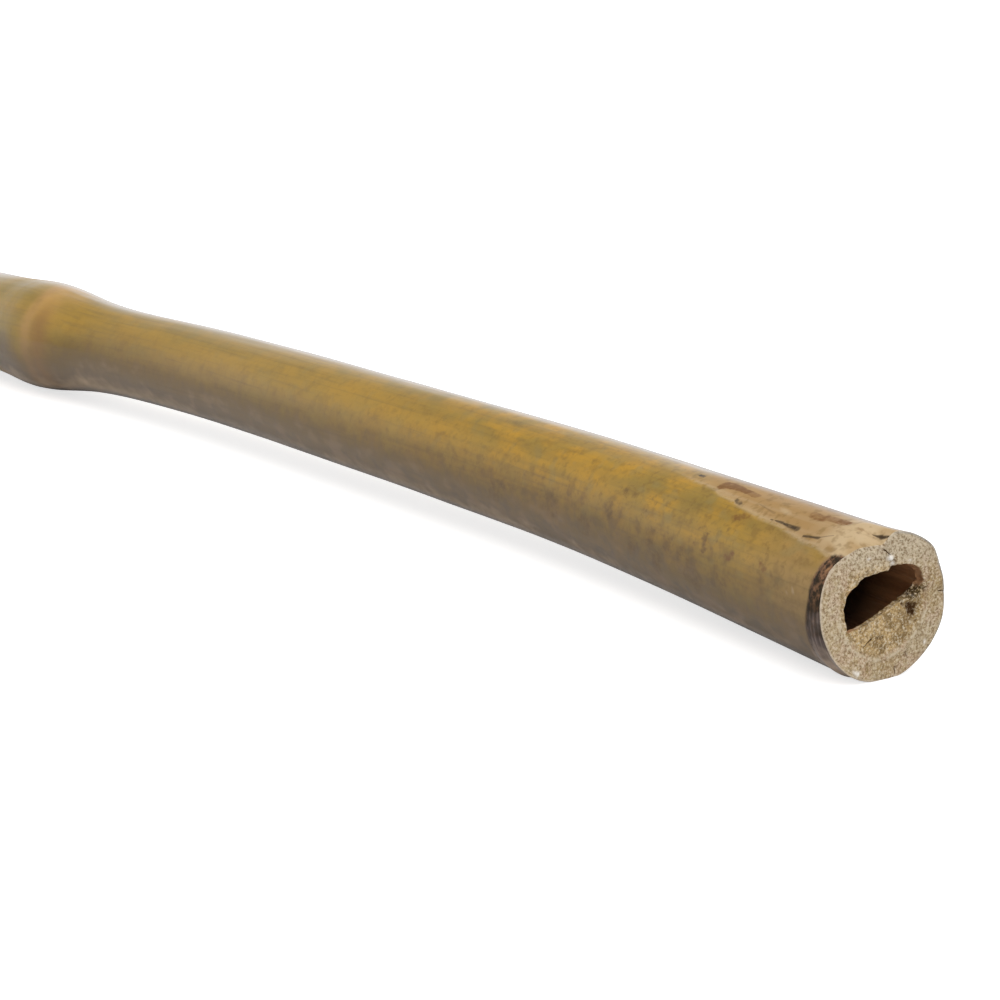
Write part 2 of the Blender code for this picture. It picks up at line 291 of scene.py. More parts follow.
def sawDepth(sideways, upward, detail=1):
    # depth of the saw cut behind s = 0: a slanting, slightly twisted plane with a step, pits,
    # crumbs, cracks and the old edge of the lumen
    level, across, twist = cut["tilt"]
    depth = level + across * sideways + twist * sideways * upward
    start, end, height, reach = cut["step"]
    side = fromSegment(sideways, upward, start, end)[1]
    fade = np.exp(-np.abs(turnFrom(direction(sideways, upward), 3)) / reach)
    depth = depth + detail * height * rising(side, -0.1, 0.1) * rising(upward, 2, 5) * fade
    depth = depth + detail * hills(sideways, upward, cut["pits"] + cut["crumbs"])
    for start, end in cut["cracks"]:
        gap = fromSegment(sideways, upward, start, end)[0]
        depth = depth + detail * cut["crackDepth"] * bell(gap, cut["crackWidth"])
    start, end, reach, deep = cut["crumble"]
    grain = joined(sideways, upward, 0)
    crumble = bell(fromSegment(sideways, upward, start, end)[0], reach)
    depth = depth + detail * deep * crumble * (0.5 + 0.9 * ripple(grain, 0.85, 17))
    radius, width, height = cut["border"]
    edge = bell(np.hypot(sideways, upward) - radius, width) * rising(-upward, -1, 2)
    return depth + detail * (0.045 * ripple(grain, 1.3, 3) + 0.05 * ripple(grain, 5, 4)
                             - height * edge)


def ringPlaces():
    # places of the skin's rings in mm: close at the thin end and at the nodes
    places, s = [0], 0
    far = culm["length"] / mm
    nodes = np.array(culm["nodes"][1:]) / mm
    while s < far - 0.4:
        step = min(np.interp(np.abs(nodes - s).min(), *mesh["nodeSteps"]),
                   np.interp(s, *mesh["endSteps"]))
        s += min(step, max(0.25, 0.35 * (far - s)))
        places.append(min(s, far))
    places[-1] = far
    return np.array(places)


def buildCulm():
    # One closed grid, (ring, column), from the middle of the first dome through the thin
    # hollow, the plate, the mouth, the saw cut, the skin and the thick hollow to the last dome.
    # All in mm here: s, sideways, upward.
    angle = -180 + 360 * (np.arange(mesh["sides"]) + 0.5) / mesh["sides"]
    turn = np.radians(angle)
    far = culm["length"] / mm
    blocks, kinds = [], []

    def add(kind, s, sideways, upward):
        blocks.append(joined(s, sideways, upward))
        kinds.extend([kind] * len(blocks[-1]))

    # the thin hollow, from its dome to behind the plate
    shares = np.array(mesh["domeShares"])[:, None]
    s = cut["thinHollowEnd"] - cut["domeHeight"] * shares**4
    add("hollow", s, *around(turn, cut["thinHollow"] * shares))
    share = np.linspace(1, 0, 40)[1:, None] ** 1.7
    s = cut["plate"] + 0.6 + (s[-1, 0] - cut["plate"]) * share
    offset = np.exp(-s / cut["offCentreReach"])
    middle, spread, swell = cut["wallSwell"]
    wall = cut["wall"] + swell * bell(turnFrom(angle, middle), spread)
    near = np.exp(-((s / cut["wallReach"]) ** 2))
    radius = cut["thinHollow"] + (wall - cut["thinHollow"]) * near
    centre = [cut["wallCentre"][axis] * near + cut["offCentre"][axis] * offset * (1 - near)
              for axis in (0, 1)]
    wallX, wallY = around(turn, radius, centre)
    rough = 0.07 * ripple(joined(s * 0.2, wallX, wallY), 3, 6)
    add("hollow", s, *around(turn, rough, (wallX, wallY)))

    # the back of the plate, the mouth's wall through it, and the cut face
    reach = roundOutline(cut["mouth"], cut["mouthCentre"], angle)
    middle, spread, depth = cut["crumbly"]
    crumbly = bell(turnFrom(angle, middle), spread)
    outline = joined(*around(turn, reach, cut["mouthCentre"]), 0)
    reach = reach + ripple(outline, 0.9, 11) * (0.05 + depth * crumbly)
    mouthX, mouthY = around(turn, reach, cut["mouthCentre"])
    share = np.linspace(0, 1, 7)[1:-1, None]
    x, y = wallX[-1] + (mouthX - wallX[-1]) * share, wallY[-1] + (mouthY - wallY[-1]) * share
    add("sawn", cut["plate"] + 0.12 * ripple(joined(x, y, 0), 2, 8), x, y)
    faceS = sawDepth(mouthX, mouthY)
    share = np.linspace(1, 0, 7)[:-1, None]
    hollowed = np.sin(math.pi * share) * (0.1 + 0.25 * crumbly)
    wallS = faceS + 0.12 + (cut["plate"] - 0.12 - faceS) * share
    push = 0.06 * ripple(joined(mouthX, mouthY, wallS), 0.8, 9) + hollowed - 0.06 * (1 - share)
    add("sawn", wallS, *around(turn, push, (mouthX, mouthY)))
    bevel = fromTable(angle, cut["bevel"])
    rim = culmRadius(np.zeros_like(angle), angle) / mm - bevel
    faceX, faceY = around(turn, rim - cut["rimRound"])
    share = np.linspace(0, 1, mesh["faceRings"])[:, None] ** 0.92
    x, y = mouthX + (faceX - mouthX) * share, mouthY + (faceY - mouthY) * share
    add("sawn", sawDepth(x, y), x, y)

    # the rounded rim, and the skin
    rimS = sawDepth(*around(turn, rim), detail=0.35)
    for degrees in (35, 65):
        out = rim - cut["rimRound"] * (1 - math.sin(math.radians(degrees)))
        down = cut["rimRound"] * (1 - math.cos(math.radians(degrees)))
        add("sawn", rimS + down, *around(turn, out[None]))
    rings = ringPlaces()[:, None]
    slant = (rimS + cut["rimRound"]) * (1 - rising(rings, 0, cut["tiltReach"]))
    s = withTheNodes((rings + slant) * mm, angle) / mm
    s[-1] = far
    radius = culmRadius(s * mm, angle) / mm
    radius = radius - bevel * np.clip(1 - rings / cut["bevelLength"], 0, 1) ** 1.5
    spots = joined(s * 0.12, *around(turn, radius))
    radius = radius + 0.05 * ripple(spots, 7, 12) + 0.02 * ripple(spots, 2.2, 13)
    radius[-1] -= 0.25
    add("skin", s, *around(turn, radius))

    # the thick end's cut, its hollow and the dome at the bottom of it
    share = np.linspace(0, 1, 11)[1:, None]
    x, y = around(turn, radius[-1] + (cut["thickHollow"] - radius[-1]) * share)
    dip = 0.05 * ripple(joined(x, y, 0), 1.6, 14) * np.sin(math.pi * share) ** 0.5
    add("sawn", far - np.abs(dip), x, y)
    start = cut["thickHollowStart"] + cut["domeHeight"]
    s = start + (far - start) * np.linspace(1, 0, 36)[1:, None] ** 1.6
    add("hollow", s, *around(turn, cut["thickHollow"]))
    shares = shares[-2::-1]
    s = cut["thickHollowStart"] + cut["domeHeight"] * shares**4
    add("hollow", s, *around(turn, cut["thickHollow"] * shares))

    grid = np.concatenate(blocks)
    ends = [[[cut[name], 0, 0]] for name in ("thinHollowEnd", "thickHollowStart")]
    straight = np.concatenate([ends[0], grid.reshape(-1, 3), ends[1]])
    print("culm grid:", grid.shape[0], "rings of", grid.shape[1])
    return straight, kinds


def joinGrid(name, straight, kinds):
    # quads between rings, a fan at each pole, and each face's material from its ring
    sides = mesh["sides"]
    ringCount = (len(straight) - 2) // sides
    column = np.arange(sides)
    after = (column + 1) % sides
    ring = 1 + np.arange(ringCount - 1)[:, None] * sides
    quads = np.stack([ring + column, ring + after, ring + sides + after, ring + sides + column],
                     axis=-1).reshape(-1, 4)
    lastRing = 1 + (ringCount - 1) * sides
    firstFan = np.stack([np.zeros(sides, int), 1 + after, 1 + column], axis=1)
    lastFan = np.stack([lastRing + column, lastRing + after,
                        np.full(sides, len(straight) - 1)], axis=1)
    loops = np.concatenate([firstFan.ravel(), quads.ravel(), lastFan.ravel()])
    sizes = np.concatenate([np.full(sides, 3), np.full(len(quads), 4), np.full(sides, 3)])
    starts = np.concatenate([[0], np.cumsum(sizes)[:-1]])
    shape = bpy.data.meshes.new(name)
    shape.vertices.add(len(straight))
    world = onCulm(culmLine(), straight * mm)
    world[:, 2] = np.maximum(world[:, 2], 0)  # the worn flats it lies on
    shape.vertices.foreach_set("co", world.astype(np.float32).ravel())
    shape.loops.add(len(loops))
    shape.loops.foreach_set("vertex_index", loops.astype(np.int32))
    shape.polygons.add(len(sizes))
    shape.polygons.foreach_set("loop_start", starts.astype(np.int32))
    order = {"skin": 0, "sawn": 1, "hollow": 2}
    ringKind = np.array([order[kind] for kind in kinds])
    gapKind = np.where(ringKind[:-1] == 0, ringKind[1:], ringKind[:-1])
    slots = np.concatenate([np.full(sides, 2), np.repeat(gapKind, sides), np.full(sides, 2)])
    shape.polygons.foreach_set("material_index", slots.astype(np.int32))
    shape.polygons.foreach_set("use_smooth", np.ones(len(sizes), bool))
    shape.update(calc_edges=True)
    shape.validate()
    thing = bpy.data.objects.new(name, shape)
    bpy.context.scene.collection.objects.link(thing)
    return thing


# where the skin's and the cut's marks lie: s in mm and degrees round the culm

marks = {
    "radius": 11.3,  # of the skin where the marks lie
    # the dark strip of the fallen sheath at the thin end: its outer edge, by direction
    "sheath": (
        (-180, 6), (-165, 6.8), (-150, 6.8), (-135, 5.9), (-120, 5.1), (-103, 5), (-93, 5),
        (-83, 4.8), (-61, 4.65), (-50, 4.6), (-43.5, 3.9), (-39, 2.9), (-36, 1.4), (-34, 0.6),
        (58, 0.8), (72, 2.8), (100, 4.2), (140, 4.8)),
    # the scraped patch on top: its lower border, and how far it goes up the other side
    "scrapeEdge": (
        (0, -44), (4, -44), (5.6, -43), (8.6, -41), (13.7, -36.8), (15.7, -36.3), (20.2, -34.2),
        (26.5, -32.2), (30.3, -29), (34.7, -24), (40.9, -20.3), (48, -17), (60, -5)),
    "scrapeTop": ((0, 30), (12, 26), (30, 17), (48, 6), (60, -3)),
    "scrapeEnd": (36, 57),
    # from (s, degrees) to (s, degrees), half width in mm, strength
    "lesion": ((45.8, -9, 44.7, -9.4, 0.5, 0.8), (31.7, -25.1, 30.2, -26.4, 0.55, 0.75)),
    # the same with a half width at each end, for marks finer than the mesh
    "strokes": (
        (21, -31.7, 20.6, -31.6, 0.12, 0.16, 0.7), (19.9, -31.2, 18.2, -31, 0.14, 0.3, 0.85),
        (17.7, -31.5, 14.3, -31.9, 0.26, 0.46, 0.95), (11.9, -36, 8.8, -33.3, 0.2, 0.28, 0.9),
        (8.9, -33.2, 6.7, -26.4, 0.16, 0.08, 0.5), (26.5, -20.5, 21.7, -24.7, 0.1, 0.22, 0.3),
        (3.2, -3.2, 1.9, 0.4, 0.05, 0.27, 1), (1.9, 0.4, 0.7, 3.8, 0.27, 0.06, 1)),
    "brown": (
        (38, -15, 35.6, -9.2, 0.9, 1), (38, -9, 35, -9.4, 1.1, 1.1),
        (35, -9.4, 29.3, -11.6, 0.8, 0.9), (15.1, -11.2, 12.6, -12.8, 1.2, 0.7),
        (12, -9, 8, -8.4, 1, 0.9), (1.6, 1.6, 0.7, 3.4, 0.24, 0.45),
        (28.6, -41.5, 26, -36.2, 0.9, 0.6), (24.5, -71, 26, -75, 0.9, 0.6),
        (24, -30, 21, -27, 0.5, 0.35), (17.4, -70, 15.6, -73, 0.7, 0.5),
        (5.4, -8, 3, -4, 0.5, 0.4)),
    "palePatch": (
        (21.4, -17, 19.4, -19.6, 0.5, 0.6), (8.6, -78.4, 8.4, -79.6, 0.3, 0.45),
        (10, -82.6, 10.1, -83.4, 0.22, 0.35)),
    "smudge": (
        (4.6, -12, 2.6, -5, 0.34, 0.65), (3.8, -6.6, 3, -4.4, 0.2, 0.5),
        (2.6, -19, 1.4, -12, 0.2, 0.5), (55.8, -50, 56.2, -54, 1.3, 0.9),
        (60, -73, 60.6, -80, 1.5, 0.9), (46.5, -80, 47, -88, 1.3, 0.8),
        (52, -95, 53, -102, 1.7, 0.8), (45, -101, 45.6, -111, 1.6, 0.9),
        (35, -94, 36, -104, 1.8, 0.8), (41.6, -79, 42, -87, 1.3, 0.7),
        (32.5, -64.5, 32.2, -76, 0.75, 1.3), (25, -71, 25.5, -76, 1.2, 0.5),
        (28, -90, 28.5, -98, 1.5, 0.6), (33, -102, 34, -112, 1.6, 0.7),
        (26, -97, 26.5, -105, 1.5, 0.6), (38, -84, 38.5, -92, 1.2, 0.6),
        (35, -76, 35.4, -84, 1, 0.6), (34, -51, 34.5, -57, 1.3, 0.6), (70, -60, 71, -66, 1.5, 0.6),
        (66, -92, 67, -100, 1.8, 0.8), (78, -88, 79, -97, 1.8, 0.7), (75, -45, 76, -50, 1.6, 0.5),
        (88, -84, 89, -90, 2, 0.6), (96, -94, 97, -102, 2, 0.6), (50, -60, 50.4, -66, 1, 0.6)),
    # the underside: a grey zone that starts below this direction, partly mould grey and partly
    # painted shade of the lower side
    "underEdge": (
        (0, -104), (12, -105), (25, -104), (40, -101), (60, -95), (100, -95), (160, -96),
        (220, -92), (262, -86), (272, -93), (285, -107), (293, -109), (300, -98), (340, -90),
        (620, -96), (1200, -92)),
    "underBack": 168,
    # the bands of colour at a node: where they lie, in mm past its middle, and how wide; the glow
    # is partly the crest's orange and partly painted highlight, the dark band is painted shade and
    # the line a painted highlight
    "nodeGlow": (-10, 7.5, 2.2), "nodeShadeBand": (-14, 2), "nodeHighlightLine": (-8.7, 1.5),
    "bloomStart": (-5, 1), "bloomEnd": (9, 60), "nodeTop": 10,
    # how clear the mottling is, and how warm the gold, along the cane
    "crisp": ((50, 1), (110, 0.6), (220, 0.3), (330, 0.3), (420, 0.8)),
    "warm": (
        (0, 0.15), (14, 0.3), (26, 0.8), (45, 1), (95, 1), (130, 0.55), (200, 0.25), (255, 0.45),
        (280, 0.15), (330, 0.3), (600, 0.6), (900, 0.2), (1200, 0.5)),
}


def segmentMask(s, angle, radius, strokes):
    # the strongest of several soft strokes, each from one (s, degrees) to another
    total = np.zeros(len(s))
    for s1, turn1, s2, turn2, width, strength in strokes:
        middle = 0.5 * (turn1 + turn2)
        across = np.radians(turnFrom(angle, middle)) * radius
        ends = [math.radians(turn - middle) * marks["radius"] for turn in (turn1, turn2)]
        gap = fromSegment(s, across, (s1, ends[0]), (s2, ends[1]))[0]
        total = np.maximum(total, strength * (1 - rising(gap, 0.45 * width, 1.35 * width)))
    return total


def paintMarks(thing, straight, kinds):
    # vertex attributes that the materials read, all worked out from s and the direction
    s, x, y = straight.T
    angle, radius = direction(x, y), np.hypot(x, y)
    kind = np.concatenate([["hollow"], np.repeat(kinds, mesh["sides"]), ["hollow"]])
    onSkin = kind == "skin"
    layers = {}
    edge = fromTable(angle, marks["sheath"]) + 0.12 * ripple(straight, 2.5, 21)
    layers["sheath"] = (1 - rising(s - edge, -0.25, 0.35)) * (edge > 1) * onSkin
    layers["sheathEdge"] = bell(s - edge + 0.45, 0.38)
    low = np.interp(s, *zip(*marks["scrapeEdge"])) + 0.8 * ripple(straight, 6, 22)
    high = np.interp(s, *zip(*marks["scrapeTop"])) + 2 * ripple(straight, 6, 23)
    ends = 1 - rising(s, *marks["scrapeEnd"])
    layers["scraped"] = rising(angle - low, -1, 1.5) * rising(high - angle, -2, 2) * ends
    layers["scrapeLine"] = bell(angle - low, 1.2) * ends * onSkin * (s > 4.5)
    layers["bare"] = np.maximum(1 - rising(s, 4, 14), 0.3 * bell(angle - low - 3, 3))
    for name in ("lesion", "brown", "smudge", "palePatch"):
        layers[name] = segmentMask(s, angle, radius, marks[name])
    layers["crisp"] = np.interp(s, *zip(*marks["crisp"]))
    layers["tan"] = 0.55 * (1 - rising(s, 6, 26))
    # the wax coat and the painted sheen, both weaker just past the first node
    layers["coatAndSheen"] = 1 - 0.75 * bell(s - 312, 7)
    # mm below the upper edge of the grey underside, and none on the far side
    edge = np.interp(s, *zip(*marks["underEdge"]))
    middle = 0.5 * (edge + marks["underBack"] - 360)
    half = 0.5 * (edge - marks["underBack"] + 360)
    layers["under"] = np.radians(half - np.abs(turnFrom(angle, middle))) * radius
    layers["warm"] = np.interp(s, *zip(*marks["warm"]))
    # the bands of colour at the nodes, by the distance past each node's middle: orange with
    # painted highlight, weaker low down; painted shade on the flank away from the top; a painted
    # highlight line
    names = ("nodeGlow", "nodeShadeBand", "nodeHighlightLine", "nodeBloom")
    layers.update({name: np.zeros(len(s)) for name in names})
    fromTop = np.abs(turnFrom(angle, marks["nodeTop"]))
    low = rising(fromTop, 35, 75)
    for index, place in enumerate(culm["nodes"][1:], 1):
        past = s - place / mm + nodeLean(index, angle) / mm
        past = past + 0.5 * ripple(straight, 9, 30 + index)
        middle, thin, thick = marks["nodeGlow"]
        glow = bell(past - middle, np.where(past < middle, thin, thick))
        layers["nodeGlow"] += glow * (1 - 0.6 * low)
        for name, share in (("nodeShadeBand", low), ("nodeHighlightLine", 1)):
            middle, width = marks[name]
            layers[name] += bell(past - middle, width) * share
        bloom = rising(past, *marks["bloomStart"]) * (1 - rising(past, *marks["bloomEnd"]))
        layers["nodeBloom"] += bloom * rising(fromTop, 80, 106)
    # the cut face
    fromMouth = direction(x - cut["mouthCentre"][0], y - cut["mouthCentre"][1])
    chord = rising(np.abs(turnFrom(fromMouth, 157)), 62, 70)
    behind = rising(s - sawDepth(x, y), 0.05, 0.3)
    layers["inside"] = chord * behind * (radius < 9) * (s < 3)
    # painted shade: darker with the distance into the hollows from the ends
    fromEnds = np.minimum(s, culm["length"] / mm - s)
    layers["deep"] = rising(fromEnds, 4, 17)
    layers["plate"] = 1 - rising(radius, 7, 7.8)
    layers["plateShade"] = 0.8 * bell(np.hypot(x - 5.2, y + 1.2), 1.7)
    # painted light: the face lighter at its top and in two patches by the rim
    lower = 0.5 * bell(turnFrom(angle, 130), 24) * rising(radius, 7.6, 9)
    left = 0.55 * bell(turnFrom(angle, -85), 38) * rising(radius, 7.4, 8.6)
    layers["bright"] = np.maximum(rising(y, 3.5, 8.5), np.maximum(lower, left))
    layers["plateEdge"] = bell(radius - cut["border"][0], 0.22) * rising(-y, -1, 2)
    # painted shade: the pits and cracks near black, and darker gaps between the crumbs
    layers["pitShade"] = np.clip(2 * hills(x, y, cut["pits"]), 0, 1)
    start, end, reach, deep = cut["crumble"]
    layers["crumble"] = bell(fromSegment(x, y, start, end)[0], 0.8 * reach)
    layers["fleckAndGlint"] = np.clip(hills(x, y, cut["flecksAndGlints"]), 0, 1)
    # the skin's edge round the cut: a painted highlight, pale, on the left, and grey on the right
    rimRadius = culmRadius(np.zeros_like(angle), angle) / mm - fromTable(angle, cut["bevel"])
    atRim = rising(radius - rimRadius, -0.42, -0.12) * (s < 4)
    layers["rimHighlight"] = atRim * rising(np.abs(turnFrom(angle, 50)), 80, 120)
    layers["rimGrey"] = atRim * rising(-np.abs(turnFrom(angle, 75)), -75, -55)
    for name, values in layers.items():
        layer = thing.data.attributes.new(name, "FLOAT", "POINT")
        layer.data.foreach_set("value", values.astype(np.float32))
    layer = thing.data.attributes.new("culm", "FLOAT_VECTOR", "POINT")
    layer.data.foreach_set("vector", straight.astype(np.float32).ravel())
    print("marks:", len(layers), "layers")


# shader helpers

class Shades:
    # Adds shader nodes to one tree. Values are numbers, colours or sockets, and all methods
    # but the first three give an output socket.

    def __init__(self, tree, look=None):
        self.tree, self.look = tree, look

    def fill(self, node, values):
        # sets a node's inputs by name or number, and links those whose value is a socket
        for name, value in values.items():
            if isinstance(value, bpy.types.NodeSocket):
                self.tree.links.new(value, node.inputs[name])
            else:
                node.inputs[name].default_value = value

    def node(self, kind, values=None, **settings):
        # a new node of this kind, with its settings and its inputs' values
        made = self.tree.nodes.new("ShaderNode" + kind)
        for name, value in settings.items():
            setattr(made, name, value)
        self.fill(made, values or {})
        return made

    def maths(self, operation, a, b, c=0, clamp=False):
        values = {0: a, 1: b, 2: c}
        return self.node("Math", values, operation=operation, use_clamp=clamp).outputs[0]

    def times(self, a, b, clamp=False):
        return self.maths("MULTIPLY", a, b, clamp=clamp)

    def vector(self, operation, a, b=(0, 0, 0), result=0):
        return self.node("VectorMath", {0: a, 1: b}, operation=operation).outputs[result]

    def ranged(self, value, low, high, newLow=0, newHigh=1):
        # smooth change from newLow to newHigh while the value goes from low to high
        values = {0: value, 1: low, 2: high, 3: newLow, 4: newHigh}
        made = self.node("MapRange", values, interpolation_type="SMOOTHSTEP")
        return made.outputs[0]

    def between(self, share, low, high):
        # the number low where share is 0, and high where it is 1
        values = {0: share, 2: low, 3: high}
        return self.node("Mix", values, data_type="FLOAT").outputs[0]

    def blended(self, share, low, high):
        # the same for colours, which may be names in the look
        low, high = [(*self.look[c], 1) if isinstance(c, str) else c for c in (low, high)]
        values = {0: share, 6: low, 7: high}
        return self.node("Mix", values, data_type="RGBA").outputs[2]

    def veil(self, tone, colour, value, low, high, most=1):
        # the colour over the tone, from not at all to most while the value goes from low to high
        return self.blended(self.ranged(value, low, high, 0, most), tone, colour)

    def layer(self, name, share=None):
        # a painted layer, times a share where one is given
        value = self.node("Attribute", attribute_name=name).outputs["Fac"]
        return value if share is None else self.times(value, share)

    def place(self, stretch):
        # culm coordinates in mm, scaled along, sideways and upward
        place = self.node("Attribute", attribute_name="culm").outputs["Vector"]
        return self.vector("MULTIPLY", place, stretch)

    def noise(self, stretch, detail, rough=0.55, scale=1):
        # noise from 0 to 1, fixed to the culm
        values = {"Vector": self.place(stretch), "Scale": scale, "Detail": detail,
                  "Roughness": rough}
        return self.node("TexNoise", values).outputs["Fac"]


def startMaterial(name, look=None):
    # a material, the helper for its nodes, and its shader
    made = bpy.data.materials.new(name)
    made.use_nodes = True
    return made, Shades(made.node_tree, look), made.node_tree.nodes["Principled BSDF"]


def finishMaterial(mix, shader, tone, relief, values):
    # colour, relief as (strength, depth in metres, height), and the other inputs
    bump = mix.node("Bump", dict(zip(("Strength", "Distance", "Height"), relief)))
    mix.fill(shader, {"Base Color": tone, "Normal": bump.outputs[0], **values})


def startGroup(name, vectors, numbers, results):
    # an empty node group with these sockets, its helper and its inputs
    group = bpy.data.node_groups.new(name, "ShaderNodeTree")
    for names, way, kind in ((vectors, "INPUT", "NodeSocketVector"),
                             (numbers, "INPUT", "NodeSocketFloat"),
                             (results, "OUTPUT", "NodeSocketFloat")):
        for socket in names:
            group.interface.new_socket(socket, in_out=way, socket_type=kind)
    mix = Shades(group)
    return group, mix, group.nodes.new("NodeGroupInput").outputs


# fibre streaks, shared by the skin and the hollow

def fibreGroup():
    # long streaks: noise squeezed across the culm and drawn out along it, wide and fine
    group, mix, entry = startGroup("culmFibres", (), ("Width", "Length"), ("Streaks", "Fine"))
    across = mix.maths("DIVIDE", 1, entry["Width"])
    along = mix.maths("DIVIDE", 1, entry["Length"])
    stretch = mix.node("CombineXYZ", {0: along, 1: across, 2: across}).outputs[0]
    wide = mix.noise(stretch, 2, scale=0.55)
    fine = mix.noise(stretch, 3, rough=0.6, scale=2.2)
    mix.fill(group.nodes.new("NodeGroupOutput"), {"Streaks": wide, "Fine": fine})
    return group


def fibres(mix, group, width, length):
    # streaks this wide and long, in mm
    made = mix.node("Group", {"Width": width, "Length": length}, node_tree=group)
    return made.outputs["Streaks"], made.outputs["Fine"]


# strokes finer than the mesh, shared by the skin and the cut

def strokeGroup():
    # a straight stroke: 1 within its half width, which changes from its start to its end, by
    # the gap to it seen along the radius there; Rough makes the edge uneven
    group, mix, entry = startGroup("culmStroke", ("Start", "Way", "Radial"),
                                   ("From", "To", "Rough"), ("Mask",))
    way = entry["Way"]
    away = mix.vector("SUBTRACT", mix.place((1, 1, 1)), entry["Start"])
    square = mix.vector("DOT_PRODUCT", way, way, 1)
    along = mix.maths("DIVIDE", mix.vector("DOT_PRODUCT", away, way, 1), square, clamp=True)
    nearest = mix.node("VectorMath", {0: way, "Scale": along}, operation="SCALE")
    gap = mix.vector("SUBTRACT", away, nearest.outputs[0])
    gap = mix.vector("SUBTRACT", gap, mix.vector("PROJECT", gap, entry["Radial"]))
    width = mix.between(along, entry["From"], entry["To"])
    share = mix.maths("DIVIDE", mix.vector("LENGTH", gap, result=1), width)
    share = mix.maths("ADD", share, entry["Rough"])
    mask = mix.ranged(share, 0.4, 1.6, 1, 0)
    mix.fill(group.nodes.new("NodeGroupOutput"), {"Mask": mask})
    return group


def strokeMask(mix, group, ends, radial, widths, rough):
    # one stroke between two places in culm coordinates
    start, end = ends
    values = {"Start": start, "Way": tuple(np.subtract(end, start)), "Radial": radial,
              "From": widths[0], "To": widths[1], "Rough": rough}
    return mix.node("Group", values, node_tree=group).outputs["Mask"]


def onSkin(s, turn):
    # the culm coordinates of the skin at s mm and this many degrees
    radius = float(culmRadius(np.array([s * mm]), np.array([turn]))[0]) / mm
    turn = math.radians(turn)
    return s, radius * math.sin(turn), radius * math.cos(turn)


# the skin

skinLook = {
    "olive": (0.302, 0.202, 0.035), "golden": (0.403, 0.241, 0.033),
    "warm": (0.515, 0.278, 0.022), "tan": (0.4, 0.235, 0.098), "streak": (0.22, 0.138, 0.032),
    # the underside's grey colours are partly mould grey, partly painted shade; the dark band above
    # the grey is painted shade and the palest colour painted bounce light from the floor
    "mottle": (0.19, 0.106, 0.02), "under": (0.166, 0.111, 0.068), "paintedLowShade": (0.15, 0.085, 0.022),
    "underDark": (0.116, 0.084, 0.054), "underWarm": (0.24, 0.158, 0.095),
    # the next line ends with the pale grey of the painted sheen at the edges
    "paintedBounceLight": (0.7, 0.505, 0.33), "paintedSheen": (0.36, 0.345, 0.35),
    # node colours here: the crest's orange with painted highlight, a painted-shade band and a
    # painted highlight line
    "scraped": (0.41, 0.24, 0.088), "scrapedPale": (0.6, 0.45, 0.27), "glow": (0.6, 0.335, 0.1),
    "nodeShadeBand": (0.3, 0.15, 0.045), "nodeHighlightLine": (0.66, 0.4, 0.13),
    "bloom": (0.235, 0.215, 0.175), "brown": (0.205, 0.085, 0.014),
    "smudge": (0.125, 0.062, 0.012), "lesion": (0.062, 0.038, 0.018),
    "sheath": (0.038, 0.026, 0.015), "sheathRed": (0.27, 0.14, 0.075),
    "sheathGrey": (0.25, 0.195, 0.175), "sheathRing": (0.125, 0.096, 0.086),
    # the sheath strip's palest colour on the next line is painted bounce light from the floor
    "sheathBounceLight": (0.6, 0.465, 0.36), "moss": (0.25, 0.212, 0.08),
    "roughness": 0.45, "specular": 0.22, "coat": 0.6, "coatRoughness": 0.18,
}

